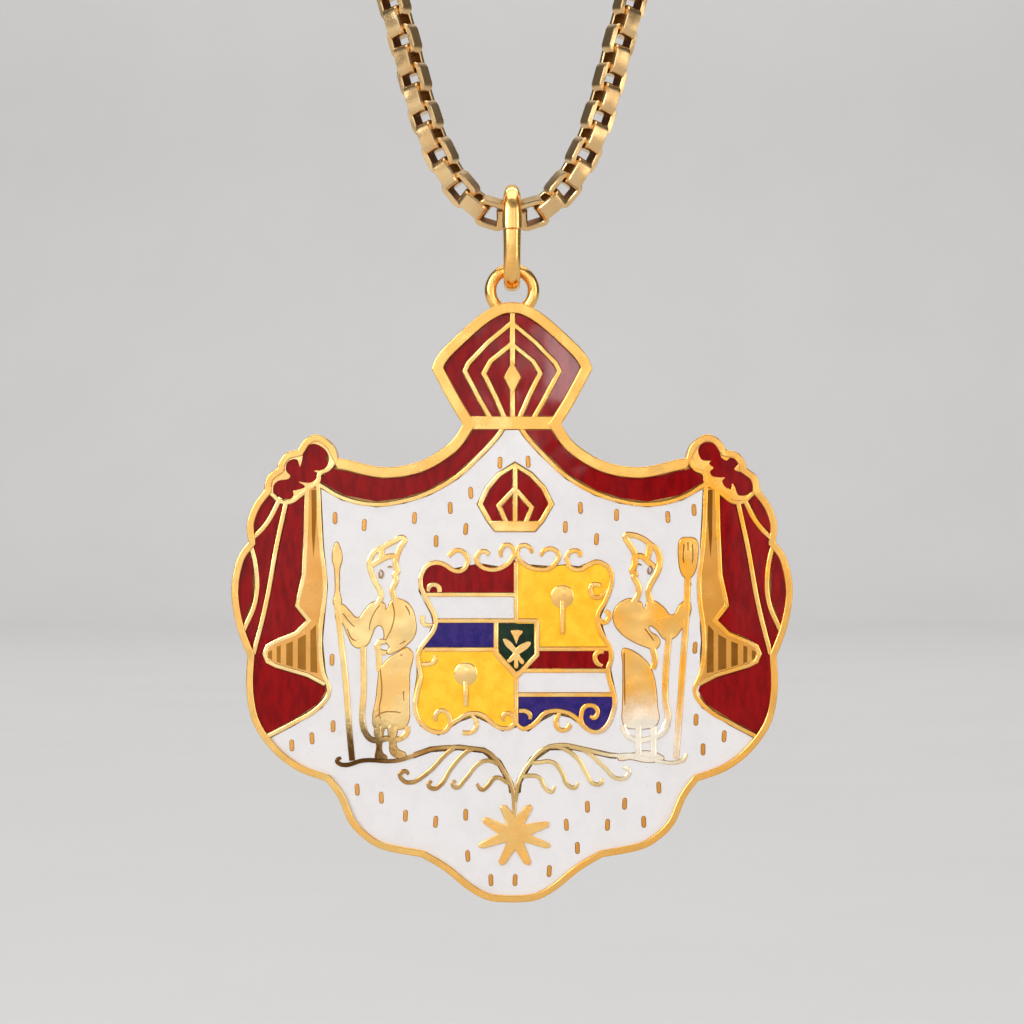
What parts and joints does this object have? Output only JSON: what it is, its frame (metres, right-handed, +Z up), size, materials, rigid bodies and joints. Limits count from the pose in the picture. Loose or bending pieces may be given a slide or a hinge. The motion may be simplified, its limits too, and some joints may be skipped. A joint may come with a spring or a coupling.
{
  "type": "chain of office with enamelled badge",
  "caption": "Gold box chain necklace with a long jump ring and a hanging gold badge in heraldic form, filled with coloured enamel.",
  "frame": {"origin": "middle of the clasp at the nape, where the chain rests on the back of the neck", "axes": "+Z up, -Y towards the viewer of the badge, +X to the viewer's right; the badge hangs 127 mm in front of and 166 mm below the origin"},
  "size_m": [0.1189, 0.1304, 0.2066],
  "materials": {
    "gold": "polished yellow gold",
    "red_enamel": "glossy translucent enamel",
    "white_enamel": "glossy opaque enamel",
    "yellow_enamel": "glossy opaque enamel",
    "blue_enamel": "glossy translucent enamel",
    "green_enamel": "glossy opaque enamel"
  },
  "bodies": {
    "chain": {"chain": "gold", "clasp": "gold"},
    "jump_ring": {"jump_ring": "gold"},
    "pendant": {"pendant_frame": "gold", "crown_enamel_outer_left": "red_enamel", "crown_enamel_outer_right": "red_enamel", "crown_enamel_middle_left": "red_enamel", "crown_enamel_middle_right": "red_enamel", "crown_enamel_inner_left": "red_enamel", "crown_enamel_inner_right": "red_enamel", "swag_enamel_left": "red_enamel", "swag_enamel_right": "red_enamel", "knot_enamel_left": "red_enamel", "knot_enamel_right": "red_enamel", "drape_enamel_left": "red_enamel", "drape_enamel_right": "red_enamel", "drape_enamel_fold_left": "red_enamel", "drape_enamel_fold_right": "red_enamel", "drape_enamel_upper_left": "red_enamel", "drape_enamel_upper_right": "red_enamel", "drape_enamel_side_left": "red_enamel", "drape_enamel_side_right": "red_enamel", "ground_enamel": "white_enamel", "small_crown_enamel_outer_left": "red_enamel", "small_crown_enamel_inner_left": "red_enamel", "small_crown_enamel_inner_right": "red_enamel", "small_crown_enamel_outer_right": "red_enamel", "shield_red_left": "red_enamel", "shield_white_left": "white_enamel", "shield_blue_left": "blue_enamel", "shield_yellow_right": "yellow_enamel", "middle_shield_enamel": "green_enamel", "shield_yellow_left": "yellow_enamel", "shield_red_right": "red_enamel", "shield_white_right": "white_enamel", "shield_blue_right": "blue_enamel"}
  },
  "joints": [
    {"name": "jump_ring_swing", "type": "hinge", "parent": "chain", "child": "jump_ring", "pos_m": [0, -0.127, -0.166], "axis": [1, 0, 0], "range_deg": [-80, 80]},
    {"name": "pendant_swing", "type": "hinge", "parent": "jump_ring", "child": "pendant", "pos_m": [0, -0.127, -0.16987], "axis": [0, 1, 0], "range_deg": [-75, 75]}
  ]
}
